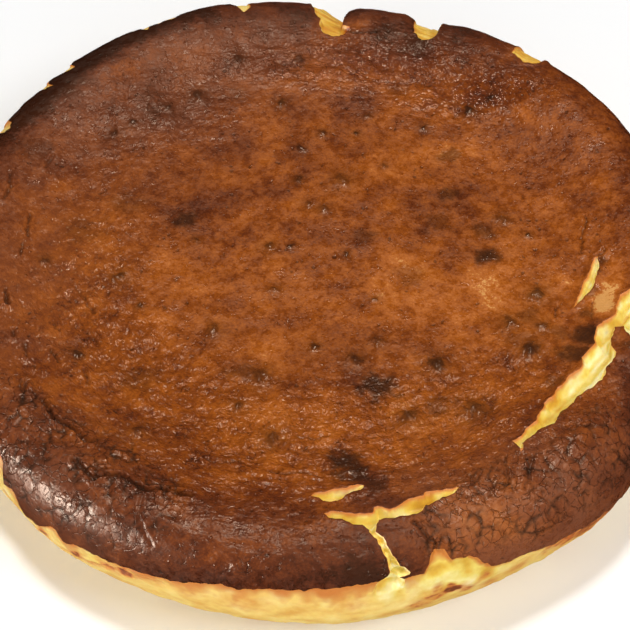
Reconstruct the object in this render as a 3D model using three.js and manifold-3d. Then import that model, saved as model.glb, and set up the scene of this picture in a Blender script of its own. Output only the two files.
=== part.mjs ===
// Burnt Basque cheesecake, whole and uncut: one solid of set custard under a cracked brown skin.
// Millimetres, +Z up. The origin is the middle of the cake's outline, at its flat base.

import * as THREE from 'three';
import { ConvexGeometry } from 'three/addons/geometries/ConvexGeometry.js';
import { mergeVertices } from 'three/addons/utils/BufferGeometryUtils.js';
import Module from 'manifold-3d';

const wasm = await Module();
wasm.setup();

// Driving dimensions
const middleHeight = 38.2; // the middle sank as the cake cooled
const crestRadius = 107; // top of the raised rim
const crestHeight = 46;
const widestRadius = 120; // the side bulges out to this
const widestHeight = 30;
const baseRadius = 105; // flat part of the base
const skinStep = 0.8; // the brown skin stands proud of the pale side by this
const skinEdgeRamp = 1; // the step takes this length down the side
const lipLift = 0.5; // the skin curls up by this along a crack
const lipRun = 1.5; // and this far past its ends
const baseFade = 12; // relief dies away over this length above the base

// Mesh fineness
const columns = 120; // around the cake
const topReach = 104; // way from the middle that is in even rows, whatever the skin's edge does
const topRows = 10;
const shoulderRows = 5; // from there to the lower edge of the skin
const sideRows = 7; // from there to the base

// Half section from the middle of the top, over the rim and down the side: [radius, height].
const section = new THREE.SplineCurve([
  new THREE.Vector2(0, middleHeight),
  new THREE.Vector2(22, middleHeight),
  new THREE.Vector2(44, middleHeight + 0.2),
  new THREE.Vector2(64, middleHeight + 0.8),
  new THREE.Vector2(80, middleHeight + 2.2),
  new THREE.Vector2(93, crestHeight - 2.6),
  new THREE.Vector2(101, crestHeight - 0.5),
  new THREE.Vector2(crestRadius, crestHeight),
  new THREE.Vector2(crestRadius + 6, crestHeight - 1.8),
  new THREE.Vector2(widestRadius - 2, widestHeight + 8.5),
  new THREE.Vector2(widestRadius, widestHeight),
  new THREE.Vector2(widestRadius - 1.4, 20),
  new THREE.Vector2(widestRadius - 5, 10),
  new THREE.Vector2(baseRadius + 5.5, 3),
  new THREE.Vector2(baseRadius, 0),
]);
const sectionLength = section.getLength();

// Places on the skin are given on a flat chart: the way from the middle of the top, measured
// along the section, laid out in the direction (x, y) in which it leaves the middle.

// Lower edge of the brown skin: [angle in degrees, way from the middle].
const skinEdge = [
  [-180, 126], [-168, 130], [-157, 124], [-146, 129], [-140, 119], [-137, 121], [-132, 133],
  [-125, 131], [-110, 128.5], [-98, 124.5], [-86, 123.6], [-76, 123], [-72, 116.8], [-69, 121.5],
  [-65, 129], [-57, 132], [-48, 135], [-36, 131], [-24, 134], [-14, 128], [-3, 131], [8, 126],
  [20, 131], [33, 127], [44, 132], [54, 128], [66, 133], [78, 129], [90, 125], [101, 131],
  [113, 127], [124, 133], [136, 126], [148, 131], [162, 127], [171, 131], [180, 126],
];

// Soft swells and dips of the skin: [x, y, reach, lift].
const swells = [
  [-42, 98, 17, 1.5], [-97, 50, 18, -1.4], [88, 62, 22, 1.2], [28, 101, 7, -0.6], [98, 8, 14, 0.7],
  [-104, -12, 15, 0.9], [-96, -48, 12, -0.8], [-60, -88, 13, 0.8], [-18, -106, 14, -0.7], [24, -110, 6, 1.1],
  [72, -80, 13, 0.9], [104, -42, 12, 0.8], [64, -38, 11, 0.9], [36, -70, 13, -0.7], [-8, -62, 15, 0.6],
  [-52, -46, 14, -0.6], [-62, 8, 16, 0.5], [-30, 44, 15, -0.6], [14, 22, 18, 0.6], [54, 30, 15, -0.6],
  [10, 78, 12, 0.7], [-56, 62, 11, 0.8], [80, -4, 10, 0.6], [0, -22, 14, -0.5], [122, 60, 13, -1.2],
  [-30, 134, 14, 1], [-128, 40, 16, -1], [-118, -70, 13, 0.9], [40, 130, 12, -0.9], [135, -20, 14, 0.8],
  [-86, -112, 18, 1.2], [12, -142, 15, 0.9], [103, -101, 26, 2.3], [96, 106, 15, 0.9], [-100, 102, 15, 0.9],
  [-70, 92, 20, 1.1], [22, 116, 9, -1.2], [19, 101, 5, 0.9], [-36, 112, 13, 0.9], [31, 112, 6, -1],
  // The rim droops beside the two large torn pieces.
  [7.5, 113, 10, -2.8], [44, 106, 9, -2.4],
];

// Cracks, open down to the custard: a path of [x, y, width] and a depth.
const cracks = [
  {
    depth: 2.2,
    path: [[0, -94.6, 0.6], [3.2, -94.7, 2.4], [6.5, -94.3, 4.2], [9.5, -92.9, 2.4], [15, -91, 0.5]],
  },
  {
    depth: 2.8,
    path: [
      [3, -101.7, 0.5], [8.5, -102.4, 2.8], [13, -103.4, 3.8], [17.5, -102.2, 5], [24.8, -100.6, 4.2],
      [28, -98.8, 5.2], [31.4, -96.8, 4.4], [38.6, -94.7, 2.2], [41.5, -92.7, 0.5],
    ],
  },
  {
    depth: 3,
    path: [
      [17, -103.5, 3.4], [16.7, -107.4, 1.8], [18.4, -109.8, 2], [21.6, -115, 2.6], [23, -118, 4.4],
      [23, -122, 4.6],
    ],
  },
  {
    depth: 3,
    path: [
      [58, -81.5, 1.2], [57.5, -78, 2], [61.3, -74.6, 4.8], [65.5, -70.8, 4.8], [69, -65.2, 6.3],
      [77.6, -56.1, 8], [82.3, -52, 8.2], [85.9, -45, 6.6], [87.8, -35.6, 5.8], [92, -31, 10],
    ],
  },
  {
    depth: 2.2,
    path: [
      [91, -31, 9], [96, -29, 14], [102, -28.5, 15], [109, -29, 11], [116, -30.5, 7], [124, -32, 5],
    ],
  },
  { depth: 2, path: [[94.8, -36, 2.6], [95.2, -39, 2.8], [96, -43, 0.8]] },
  {
    depth: 2.2,
    path: [[79.4, -25.2, 0.6], [82.3, -20.8, 2.4], [85, -16, 3], [87, -11.5, 2.6], [88.4, -6, 0.6]],
  },
];

// Pieces torn off the rim, at an angle in degrees: the tear starts at a way `from` the middle. Its
// floor is a list of [reach outwards, half width, drop below the start], and slants to one side.
const tornPieces = [
  {
    angle: 85.5,
    from: 95,
    slant: 0.07,
    floor: [[0, 3.2, 1.2], [8, 5, 3], [15, 6, 5.2], [20, 6.8, 8.4], [26, 7.2, 14.5]],
  },
  {
    angle: 67,
    from: 99.5,
    slant: 0.02,
    floor: [[0, 2.6, 1], [5, 4.4, 2.2], [11, 5, 4.4], [15.5, 5.5, 7.9], [21, 5.8, 14]],
  },
  { angle: 47.5, from: 105.5, slant: 0, floor: [[0, 3.2, 0.8], [3, 5.4, 1.4], [9, 5.6, 3.6]] },
  { angle: 102.5, from: 108, slant: 0, floor: [[0, 0.8, 0.8], [4, 2.4, 1.4], [8, 3, 2.6]] },
];

// The skin's lower edge at an angle in degrees, on straight lines between the listed angles.
function skinEdgeAt(angle) {
  const next = skinEdge.findIndex(([listed]) => listed >= angle);
  const [angleB, wayB] = skinEdge[Math.max(next, 1)];
  const [angleA, wayA] = skinEdge[Math.max(next, 1) - 1];
  return THREE.MathUtils.lerp(wayA, wayB, (angle - angleA) / (angleB - angleA));
}

// How far the skin is swollen or sunk at a place on the chart.
function swellAt(x, y) {
  return swells.reduce((sum, [cx, cy, reach, lift]) => {
    const distance = Math.hypot(x - cx, y - cy) / reach;
    return sum + lift * Math.exp(-distance * distance);
  }, 0);
}

// The surface at a way and angle (radians): its point, its outward normal, and the directions along
// the way and across it.
function surfaceAt(way, angle, lift = 0) {
  const share = THREE.MathUtils.clamp(way / sectionLength, 0, 1);
  const point = section.getPointAt(share);
  const slope = section.getTangentAt(share);
  const out = new THREE.Vector3(Math.cos(angle), Math.sin(angle), 0);
  const along = out.clone().multiplyScalar(slope.x).setZ(slope.y);
  const normal = out.clone().multiplyScalar(-slope.y).setZ(slope.x);
  const across = new THREE.Vector3(-out.y, out.x, 0);
  const position = out.multiplyScalar(point.x).setZ(point.y).addScaledVector(normal, lift);
  return { position, normal, along, across };
}

// A closed triangle mesh as a solid, without the collapsed triangles of a lathe's poles.
function toSolid(geometry) {
  geometry.deleteAttribute('normal');
  geometry.deleteAttribute('uv');
  const merged = mergeVertices(geometry, 1e-3);
  const corners = merged.index.array;
  const kept = [];
  for (let i = 0; i < corners.length; i += 3) {
    const [a, b, c] = corners.slice(i, i + 3);
    if (a !== b && b !== c && c !== a) kept.push(a, b, c);
  }
  const vertProperties = new Float32Array(merged.attributes.position.array);
  return new wasm.Manifold(new wasm.Mesh({ numProp: 3, vertProperties, triVerts: new Uint32Array(kept) }));
}

// How far from the middle a row of the lathe lies, in a column where the skin ends at `edge`.
function wayOfRow(row, edge) {
  if (row <= topRows) return (topReach * row) / topRows;
  const shoulderRow = row - topRows;
  if (shoulderRow <= shoulderRows) return THREE.MathUtils.lerp(topReach, edge, shoulderRow / shoulderRows);
  const sideShare = (shoulderRow - shoulderRows - 1) / (sideRows - 1);
  return THREE.MathUtils.lerp(edge + skinEdgeRamp, sectionLength, sideShare);
}

// The uncracked cake: a lathe whose rows are moved to follow the skin's edge and the swells.
function cakeBody() {
  const rows = topRows + shoulderRows + sideRows;
  const outline = [new THREE.Vector2(0, 0)];
  for (let row = rows; row >= 0; row -= 1) {
    outline.push(section.getPointAt(row / rows));
  }
  const geometry = new THREE.LatheGeometry(outline, columns);
  const points = geometry.attributes.position;
  for (let i = 0; i < points.count; i += 1) {
    const row = rows + 1 - (i % outline.length);
    const angle = (Math.floor(i / outline.length) % columns) * ((2 * Math.PI) / columns) - Math.PI;
    const edge = skinEdgeAt(THREE.MathUtils.radToDeg(angle));
    const way = wayOfRow(row, edge);
    const fade = Math.min(1, (sectionLength - way) / baseFade);
    const swell = swellAt(way * Math.cos(angle), way * Math.sin(angle));
    const lift = fade * (swell - (way > edge ? skinStep : 0));
    const { position } = surfaceAt(way, angle, lift);
    const onAxis = row === 0 || row > rows;
    points.setXYZ(i, onAxis ? 0 : position.x, onAxis ? 0 : position.y, row > rows ? 0 : position.z);
  }
  return toSolid(geometry);
}

// The hull of two cross-sections, as a solid.
function hullOf(sectionA, sectionB) {
  return toSolid(new ConvexGeometry([...sectionA, ...sectionB]));
}

// Hulls chained along a crack's path, which is made longer at both ends by `extra`. cornersAt gives
// the cross-section for a width: [offset to the side, lift]. The hulls overlap a little, so that no
// two of them only touch.
function chainAlong(path, extra, cornersAt) {
  const overlap = 0.2;
  const end = path.length - 1;
  const cornersOf = (i, shift) => {
    const [x, y, width] = path[i];
    const [nextX, nextY] = path[Math.min(i + 1, end)];
    const [lastX, lastY] = path[Math.max(i - 1, 0)];
    const { position, normal, along, across } = surfaceAt(Math.hypot(x, y), Math.atan2(y, x));
    const turn = Math.atan2(nextY - lastY, nextX - lastX) - Math.atan2(y, x);
    const ahead = along.clone().multiplyScalar(Math.cos(turn)).addScaledVector(across, Math.sin(turn));
    const side = along.clone().multiplyScalar(-Math.sin(turn)).addScaledVector(across, Math.cos(turn));
    return cornersAt(width).map(([offset, lift]) => (
      position.clone()
        .addScaledVector(ahead, shift)
        .addScaledVector(side, offset)
        .addScaledVector(normal, lift)
    ));
  };
  const hulls = path.slice(1).map((_, i) => hullOf(
    cornersOf(i, -overlap - (i === 0 ? extra : 0)),
    cornersOf(i + 1, overlap + (i + 1 === end ? extra : 0)),
  ));
  return hulls.reduce((joined, hull) => joined.add(hull));
}

// The cut of a crack is as wide as stated at the skin and narrower at its floor.
function crackCutter({ depth, path }) {
  const cutAbove = 4;
  return chainAlong(path, 0, (width) => [-1, 1].flatMap((hand) => [
    [hand * 0.7 * width, cutAbove],
    [hand * 0.35 * width, -Math.min(depth, 0.6 + width)],
  ]));
}

// The skin curls up a little along a crack.
function crackLip({ path }) {
  return chainAlong(path, lipRun, (width) => [-1, 1].flatMap((hand) => [
    [hand * (width / 2 + 0.8), lipLift],
    [hand * (width / 2 + 3), -0.5],
  ]));
}

// One torn piece: slabs chained outwards over the rim, their floors falling. They overlap a little.
function tornCutter({ angle, from, slant, floor }) {
  const cutAbove = 8;
  const overlap = 0.1;
  const turn = THREE.MathUtils.degToRad(angle);
  const outwards = new THREE.Vector3(Math.cos(turn), Math.sin(turn), 0);
  const start = surfaceAt(from, turn);
  const slab = ([reach, halfWidth, drop], shift) => [-1, 1].flatMap((hand) => (
    [cutAbove, -drop * (1 - slant * hand * halfWidth)].map((lift) => (
      start.position.clone()
        .addScaledVector(outwards, reach + shift)
        .addScaledVector(start.across, hand * halfWidth)
        .add(new THREE.Vector3(0, 0, lift))
    ))));
  const slabs = floor.slice(1).map((next, i) => hullOf(slab(floor[i], -overlap), slab(next, overlap)));
  return slabs.reduce((joined, piece) => joined.add(piece));
}

// The solid back as a mesh with a material, its outline centred on the origin.
function toMesh(solid, name, material) {
  const { vertProperties, triVerts } = solid.getMesh();
  const geometry = new THREE.BufferGeometry();
  geometry.setAttribute('position', new THREE.BufferAttribute(vertProperties, 3));
  geometry.setIndex(new THREE.BufferAttribute(triVerts, 1));
  geometry.computeBoundingBox();
  const middle = geometry.boundingBox.getCenter(new THREE.Vector3());
  geometry.translate(-middle.x, -middle.y, 0);
  geometry.computeVertexNormals();
  const mesh = new THREE.Mesh(geometry, material);
  mesh.name = name;
  return mesh;
}

const brownedSkin = new THREE.MeshStandardMaterial({ color: 0x7d3f1b, roughness: 0.5, metalness: 0 });

const lippedCake = cracks.map(crackLip).reduce((solid, lip) => solid.add(lip), cakeBody());
const cutters = [...cracks.map(crackCutter), ...tornPieces.map(tornCutter)];
const cutCake = cutters.reduce((solid, cutter) => solid.subtract(cutter), lippedCake);
// The cuts leave slivers where their hulls meet, so only the largest piece is the cake.
const cake = cutCake.decompose().reduce((a, b) => (a.volume() > b.volume() ? a : b));

const group = new THREE.Group();
group.add(toMesh(cake, 'cheesecake', brownedSkin));

export default group;
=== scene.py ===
import functools
import math

import bpy
import numpy as np
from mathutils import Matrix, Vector
from mathutils.geometry import delaunay_2d_cdt


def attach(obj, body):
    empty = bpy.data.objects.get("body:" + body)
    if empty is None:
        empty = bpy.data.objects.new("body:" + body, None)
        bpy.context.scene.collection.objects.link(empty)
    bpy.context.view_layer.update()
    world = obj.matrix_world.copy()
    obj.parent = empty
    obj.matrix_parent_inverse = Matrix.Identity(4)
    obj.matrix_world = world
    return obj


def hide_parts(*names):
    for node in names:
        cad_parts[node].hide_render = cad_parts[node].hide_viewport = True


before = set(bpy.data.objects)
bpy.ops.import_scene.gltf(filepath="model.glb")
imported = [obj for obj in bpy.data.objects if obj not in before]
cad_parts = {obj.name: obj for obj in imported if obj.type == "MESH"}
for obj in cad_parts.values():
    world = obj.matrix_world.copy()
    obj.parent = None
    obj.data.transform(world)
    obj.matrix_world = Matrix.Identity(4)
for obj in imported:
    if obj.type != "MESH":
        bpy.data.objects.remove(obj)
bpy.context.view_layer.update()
print("frame loaded")

mm = 0.001


def linear(hexColour):  # an sRGB hex value as linear red, green, blue and alpha
    parts = [int(hexColour[i:i + 2], 16) / 255 for i in (0, 2, 4)]
    return tuple(p / 12.92 if p <= 0.04045 else ((p + 0.055) / 1.055) ** 2.4 for p in parts) + (1.0,)


def smooth(x):  # an even ramp from 0 to 1
    x = np.clip(x, 0, 1)
    return x * x * (3 - 2 * x)


def dice(cellX, cellY, seed):  # a fixed random number, 0 to 1, for each cell of a grid
    mixed = (cellX.astype(np.int64) * 73856093) ^ (cellY.astype(np.int64) * 19349663) ^ (seed * 83492791)
    mixed = (mixed ^ (mixed >> 13)) * 1274126177
    return ((mixed ^ (mixed >> 16)) & 0xFFFF) / 0xFFFF


def lumps(x, y, size, seed, around=None):  # smooth lumps about size mm across, -1 to 1
    x, y = x / size, y / size
    cellX, cellY = np.floor(x), np.floor(y)
    partX, partY = x - cellX, y - cellY
    blendX, blendY = smooth(partX), smooth(partY)
    total = np.zeros_like(x)
    for i in (0, 1):
        for j in (0, 1):
            column = (cellX + i) % around if around else cellX + i  # around: columns in a full turn
            turn = 2 * np.pi * dice(column, cellY + j, seed)
            rise = np.cos(turn) * (partX - i) + np.sin(turn) * (partY - j)
            total += rise * (blendX if i else 1 - blendX) * (blendY if j else 1 - blendY)
    return total * 1.4


def layered(x, y, *layers):  # lumps of several sizes added up: strength, mm across and seed of each
    return sum(strength * lumps(x, y, size, seed) for strength, size, seed in layers)


def bent(x, y, amount, size, seed):  # places moved by about amount mm, so that a pattern isn't even
    return x + amount * lumps(x, y, size, seed), y + amount * lumps(x, y, size, seed + 1)


def plates(x, y, size, seed):  # cells like dried mud: mm from a cell's edge, and a slant for each cell
    x, y = x / size, y / size
    cellX, cellY = np.floor(x), np.floor(y)
    nearest, second = np.full(len(x), 9.0), np.full(len(x), 9.0)
    slant = np.zeros(len(x))
    for i in (-1, 0, 1):
        for j in (-1, 0, 1):
            middleX = cellX + i + 0.1 + 0.8 * dice(cellX + i, cellY + j, seed)
            middleY = cellY + j + 0.1 + 0.8 * dice(cellX + i, cellY + j, seed + 1)
            away = np.hypot(x - middleX, y - middleY)
            turn = 2 * np.pi * dice(cellX + i, cellY + j, seed + 2)
            second = np.where(away < nearest, nearest, np.minimum(second, away))
            tip = np.cos(turn) * (x - middleX) + np.sin(turn) * (y - middleY)
            slant = np.where(away < nearest, tip, slant)
            nearest = np.minimum(nearest, away)
    return (second - nearest) * size / 2, slant * size


def curvePoints(points, count):  # a smooth curve through points, as count points
    made = []
    last = len(points) - 1
    for t in np.linspace(0, last, count):
        i = min(int(t), last - 1)
        w = t - i
        before, a, b, after = points[max(i - 1, 0)], points[i], points[i + 1], points[min(i + 2, last)]
        slopeA, slopeB = (b - before) / 2, (after - a) / 2
        made.append((2 * a - 2 * b + slopeA + slopeB) * w ** 3
                    + (3 * b - 3 * a - 2 * slopeA - slopeB) * w ** 2 + slopeA * w + a)
    return np.array(made)


def awayFromPath(x, y, path, reach=6):  # distance to an open path, up to reach
    nearest = np.full(len(x), float(reach))
    path = np.array(path, float)
    close = ((x > path[:, 0].min() - reach) & (x < path[:, 0].max() + reach)
             & (y > path[:, 1].min() - reach) & (y < path[:, 1].max() + reach))
    px, py = x[close], y[close]
    best = nearest[close]
    for (ax, ay), (bx, by) in zip(path[:-1], path[1:]):
        dx, dy = bx - ax, by - ay
        share = np.clip(((px - ax) * dx + (py - ay) * dy) / (dx * dx + dy * dy), 0, 1)
        best = np.minimum(best, np.hypot(px - ax - share * dx, py - ay - share * dy))
    nearest[close] = best
    return nearest


def insideOutline(x, y, outline, reach=6):  # mm inside a closed outline, minus outside; and the way out
    depth = np.full(len(x), -float(reach))
    wayOut = np.zeros((len(x), 2))
    low, high = outline.min(axis=0) - reach, outline.max(axis=0) + reach
    close = (x > low[0]) & (x < high[0]) & (y > low[1]) & (y < high[1])
    px, py = x[close], y[close]
    best = np.full(len(px), float(reach))
    outX, outY = np.zeros(len(px)), np.zeros(len(px))
    inside = np.zeros(len(px), bool)
    for (ax, ay), (bx, by) in zip(outline, np.roll(outline, -1, axis=0)):
        dx, dy = bx - ax, by - ay
        share = np.clip(((px - ax) * dx + (py - ay) * dy) / max(dx * dx + dy * dy, 1e-12), 0, 1)
        gapX, gapY = ax + share * dx - px, ay + share * dy - py
        gap = np.hypot(gapX, gapY)
        nearer = gap < best
        best[nearer], outX[nearer], outY[nearer] = gap[nearer], gapX[nearer], gapY[nearer]
        if dy:
            inside ^= ((ay > py) != (by > py)) & (px < ax + dx * (py - ay) / dy)
    depth[close] = np.where(inside, best, -best)
    length = np.maximum(np.hypot(outX, outY), 1e-9)
    wayOut[close] = np.stack([outX / length, outY / length], axis=1)
    return depth, wayOut


# The cake's form is the same as the CAD's. All lengths are in mm.
cake = {
    "section": [  # radius and height, from the middle of the top over the rim to the base
        (0, 38.2), (22, 38.2), (44, 38.4), (64, 39), (80, 40.4), (93, 43.4), (101, 45.5), (107, 46),
        (113, 44.2), (118, 38.5), (120, 30), (118.6, 20), (115, 10), (110.5, 3), (105, 0),
    ],
    "skinStep": 0.8,  # the skin stands this proud of the pale side
    "baseFade": 12,  # relief dies away over this length above the base
    "outlineShift": (-0.29, 0.05),  # puts the middle of the outline on the origin
    "farRim": {"middle": 134, "reach": 34, "pucker": 0.4},  # degrees: the rim is baked darkest there
    "lobe": {"from": 67.5, "to": 84, "droop": 1.9, "over": 4.5},  # degrees, mm: it sags beside the far tears
    "relief": {  # heights and widths in mm
        "undulation": [(0.22, 9, 21), (0.132, 4.5, 22), (0.077, 2.4, 23)],  # height, mm across and seed
        "calmed": 0.85,  # share of the relief that taut, shiny skin loses
        "wrinkle": 0.66,
        "wrinkles": [  # how many round the cake, mm apart, share of the height, mm of their bends, seed
            (68, 3.4, 1, 9, 24), (136, 2.1, 0.6, 7, 26)],
        "plate": 4.6,  # mm across a large plate of the crackled skin
        "plateCurl": 0.12,
        "plateTilt": 0.04,
        "plateGap": 0.28,  # how deep the gaps between these plates are
        "gapWidth": 0.36,
        "blisterRise": 0.45,  # of a blister's radius
        "lip": 0.45,  # the skin curls up by this along a crack
        "lipReach": 1.3,
        "wall": 1.3,  # a crack's wall takes this width
        "fluting": 0.45,  # folds of the torn custard
        "drips": 0.6,
        "seamDepth": 0.5,
    },
    "grid": {  # mm between the mesh's points, and where it is fine
        "top": 1.2,
        "side": 1.4,
        "crackle": 0.62,
        "edge": 0.47,  # along the cracks, creases, blisters and the skin's lower edge
        "outline": 0.45,
        "edgeBand": 1.5,
        "blisterBand": 1.3,  # of a blister's radius
        "crackledWay": (84, 130),
        "photographed": (-146, -40),  # degrees: the stretch of the skin's lower edge that shows
        "keepOff": (0.5, 0.35, 0.24),  # coarse, crackle and edge points stay this far off an outline
        "reach": 140,
    },
}
relief, grid = cake["relief"], cake["grid"]
onEdge = 0.05  # mm: points this near to an outline count as on it
section = curvePoints(np.array(cake["section"], float), 1401)
sectionWay = np.concatenate([[0], np.cumsum(np.hypot(*np.diff(section, axis=0).T))])
sectionSlope = np.gradient(section, sectionWay, axis=0)
sectionLength = sectionWay[-1]

# Places on the skin are on a flat chart: the way from the middle of the top, measured along the
# section, laid out in the direction (x, y) in which it leaves the middle.

swells = [  # x, y, reach, lift
    (-42, 98, 17, 1.5), (-97, 50, 18, -1.4), (88, 62, 22, 1.2), (28, 101, 7, -0.6), (98, 8, 14, 0.7),
    (-104, -12, 15, 0.9), (-96, -48, 12, -0.8), (-60, -88, 13, 0.8), (-18, -106, 14, -0.7),
    (24, -110, 6, 1.1), (72, -80, 13, 0.9), (104, -42, 12, 0.8), (64, -38, 11, 0.9), (36, -70, 13, -0.7),
    (-8, -62, 15, 0.6), (-52, -46, 14, -0.6), (-62, 8, 16, 0.5), (-30, 44, 15, -0.6), (14, 22, 18, 0.6),
    (54, 30, 15, -0.6), (10, 78, 12, 0.7), (-56, 62, 11, 0.8), (80, -4, 10, 0.6), (0, -22, 14, -0.5),
    (122, 60, 13, -1.2), (-30, 134, 14, 1), (-128, 40, 16, -1), (-118, -70, 13, 0.9), (40, 130, 12, -0.9),
    (135, -20, 14, 0.8), (-86, -112, 18, 1.2), (12, -142, 15, 0.9), (103, -101, 26, 2.3), (96, 106, 15, 0.9),
    (-100, 102, 15, 0.9), (-70, 92, 20, 1.1), (22, 116, 9, -1.2), (19, 101, 5, 0.9), (7.5, 113, 10, -2.8),
    (44, 106, 9, -2.4), (-36, 112, 13, 0.9), (31, 112, 6, -1),
]

skinEdge = [  # lower edge of the brown skin: angle in degrees, way from the middle
    (-180, 126), (-168, 130), (-157, 124), (-146, 129), (-141, 121), (-139.5, 119.4), (-138, 119.2),
    (-137.2, 121), (-136.9, 124.5), (-136.5, 127.4), (-135.3, 126.6), (-134.7, 125.8), (-134, 126.9),
    (-133.5, 128.5), (-132.8, 131.3), (-132.1, 133.4), (-130.5, 132.1), (-129.8, 132.8), (-128.5, 130.9),
    (-127, 128.2), (-125.9, 128), (-125.4, 130.1), (-124.8, 131.6), (-122.7, 129.7), (-118.8, 129.7),
    (-114, 129), (-111.6, 128.5), (-108, 128.2), (-105.8, 126.6), (-101.7, 124.8), (-99.4, 125.7),
    (-96, 124.2), (-92, 123.9), (-88.5, 123.5), (-83.9, 122.9), (-80.7, 122.3), (-77.5, 122.7),
    (-75.2, 122.9), (-74.5, 120), (-73.9, 117.2), (-73, 116.5), (-72, 117.2), (-71.6, 119.6), (-71.2, 120.7),
    (-70.2, 120.6), (-69.4, 121.4), (-68.7, 121.3), (-68.2, 122.5), (-67.3, 124), (-67.1, 125.3),
    (-66.4, 126.4), (-65.8, 128.1), (-64, 129.4), (-61, 129.6), (-57.3, 131.4), (-53, 132.4), (-48, 134),
    (-36, 131), (-24, 134), (-14, 128), (-3, 131), (8, 126), (20, 131), (33, 127), (44, 132), (54, 128),
    (66, 133), (78, 129), (90, 125), (97.6, 128), (99.4, 121), (100.8, 114), (102.5, 107.8), (103.4, 112),
    (104.5, 119), (106.4, 126), (110, 129), (111.4, 121), (112.6, 114), (114, 111.9), (116.6, 111.7),
    (118.6, 112.6), (119.8, 112), (120.6, 110.8), (121.4, 112.6), (122.6, 118), (124.6, 125), (127, 130.5),
    (131.4, 129), (133.6, 123), (135.4, 116), (136.6, 112.4), (137.6, 113), (138.8, 117), (140, 118.5),
    (141, 115.4), (142, 112), (143, 113.2), (144.4, 118), (146.6, 123), (148.6, 128), (150.8, 121),
    (152.4, 114.5), (153.2, 112), (154.2, 114.8), (155.8, 121), (158.6, 127), (163.6, 128), (171, 131),
    (180, 126),
]

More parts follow.
